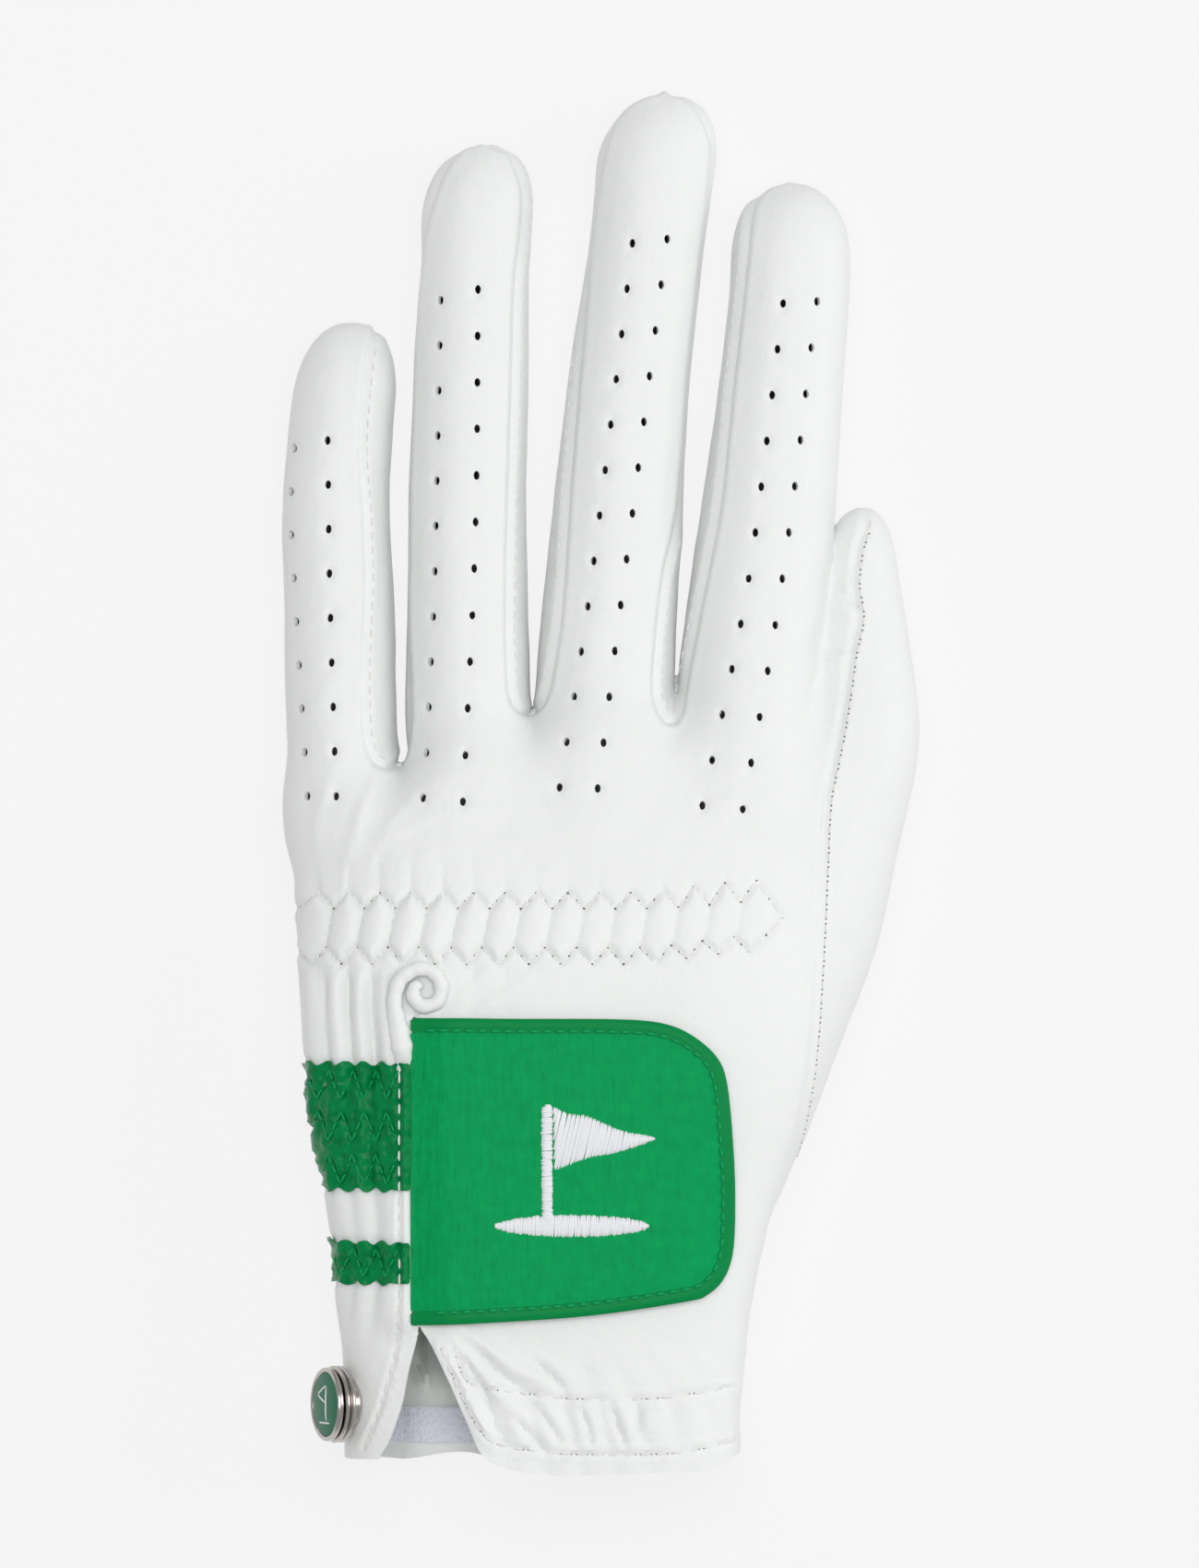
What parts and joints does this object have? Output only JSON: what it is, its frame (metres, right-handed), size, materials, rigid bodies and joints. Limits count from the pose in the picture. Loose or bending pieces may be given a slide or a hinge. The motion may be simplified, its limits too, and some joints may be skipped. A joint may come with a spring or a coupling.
{
  "type": "golf glove",
  "caption": "Left-hand leather golf glove with sewn finger panels, gathered wrist, hook-and-loop closing tab and a lift-off ball marker on a turning socket.",
  "frame": {"origin": "centre of the overall box in plan, on the surface the palm lies on", "axes": "+X to the thumb side, +Y to the fingertips, +Z out of the back of the hand"},
  "size_m": [0.1047, 0.2248, 0.0376],
  "materials": {
    "white_leather": "fine-grained white kid leather, slightly glossy",
    "green_leather": "bright green coated leather with a fine upright grain",
    "green_trim": "dark green turned edge binding",
    "green_band": "glossy green film bands gathered by stitching",
    "elastic": "woven white elastic",
    "lining_cloth": "thin pale grey lining cloth",
    "terry": "looped pale terry tape",
    "loop_pile": "white loop pile",
    "hook_tape": "white hook tape",
    "stiffener_board": "thin stiffening board",
    "white_thread": "satin-stitched white thread",
    "nickel": "polished nickel",
    "magnet_steel": "plated disc magnet",
    "green_enamel": "green enamel"
  },
  "bodies": {
    "glove": {"palm_panel": "white_leather", "back_panel": "white_leather", "fourchette_little_ring": "white_leather", "fourchette_ring_middle": "white_leather", "fourchette_middle_index": "white_leather", "thumb_outer_panel": "white_leather", "thumb_inner_panel": "white_leather", "slit_roll": "white_leather", "slit_edge_left": "white_leather", "slit_edge_right": "white_leather", "tab_anchor": "white_leather", "band_wide": "green_band", "band_narrow": "green_band", "knuckle_elastic": "elastic", "side_elastic_upper": "elastic", "side_elastic_lower": "elastic", "cuff_facing_back": "lining_cloth", "cuff_facing_palm": "lining_cloth", "wrist_terry_tape": "terry", "loop_patch": "loop_pile", "rivet_washer": "nickel", "rivet_post": "nickel"},
    "tab": {"tab_face": "green_leather", "tab_lining": "lining_cloth", "tab_stiffener": "stiffener_board", "tab_hook_patch": "hook_tape", "tab_edge_trim": "green_trim", "tab_emblem": "white_thread"},
    "socket": {"marker_socket": "nickel", "socket_magnet": "magnet_steel"},
    "marker": {"marker_rim": "nickel", "marker_face": "green_enamel"}
  },
  "joints": [
    {"name": "tab_peel", "type": "hinge", "parent": "glove", "child": "tab", "pos_m": [-0.0299, -0.0635, 0.0356], "axis": [0, -1, 0], "range_deg": [0, 150]},
    {"name": "socket_spin", "type": "hinge", "parent": "glove", "child": "socket", "pos_m": [-0.0411, -0.1014, 0.02747], "axis": [-0.9135, 0, 0.4067], "continuous": true},
    {"name": "marker_pull", "type": "slide", "parent": "socket", "child": "marker", "axis": [-0.9135, 0, 0.4067], "range_m": [0, 0.03]}
  ]
}
